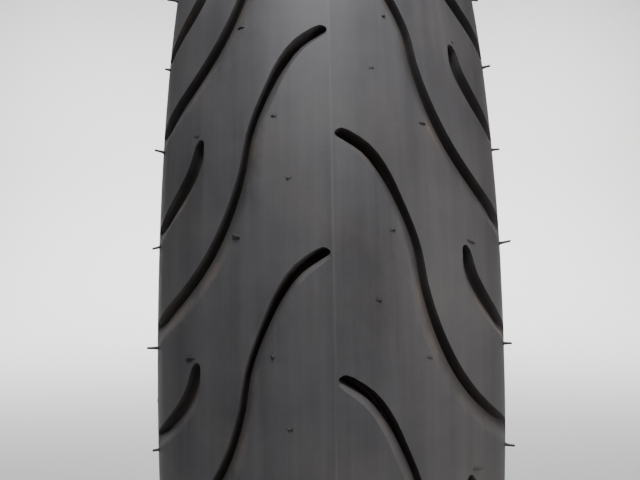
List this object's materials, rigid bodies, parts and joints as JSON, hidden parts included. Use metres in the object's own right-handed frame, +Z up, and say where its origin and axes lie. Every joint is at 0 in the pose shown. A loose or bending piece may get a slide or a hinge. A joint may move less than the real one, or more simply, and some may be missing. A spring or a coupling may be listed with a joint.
{
  "type": "motorcycle tyre",
  "caption": "Round-crowned motorcycle road tyre, off its wheel, with curved directional grooves and moulding hairs still on the tread.",
  "frame": {"origin": "centre of the wheel, midway between the two bead seats", "axes": "+Y along the axle towards the right side, +Z up; the tread faces outwards all round"},
  "size_m": [0.592, 0.1018, 0.592],
  "materials": {
    "tread_rubber": "matt",
    "sidewall_rubber": "satin",
    "hair_rubber": "matt",
    "inner_rubber": "matt",
    "liner_rubber": "satin",
    "bead_rubber": "satin",
    "cord": "matt",
    "bead_wire": "bronze coated"
  },
  "bodies": {
    "root": {"tread_cap": "tread_rubber", "tread_base": "inner_rubber", "breaker_outer": "cord", "breaker_inner": "cord", "carcass_ply_outer": "cord", "carcass_ply_inner": "cord", "inner_liner": "liner_rubber", "sidewall_left": "sidewall_rubber", "sidewall_right": "sidewall_rubber", "chafer_left": "bead_rubber", "chafer_right": "bead_rubber", "bead_filler_left": "inner_rubber", "bead_filler_right": "inner_rubber", "bead_coat_left": "inner_rubber", "bead_coat_right": "inner_rubber", "bead_wires_left": "bead_wire", "bead_wires_right": "bead_wire", "shoulder_hairs_left": "hair_rubber", "shoulder_hairs_right": "hair_rubber", "tread_hairs_left": "hair_rubber", "tread_hairs_right": "hair_rubber"}
  },
  "joints": []
}
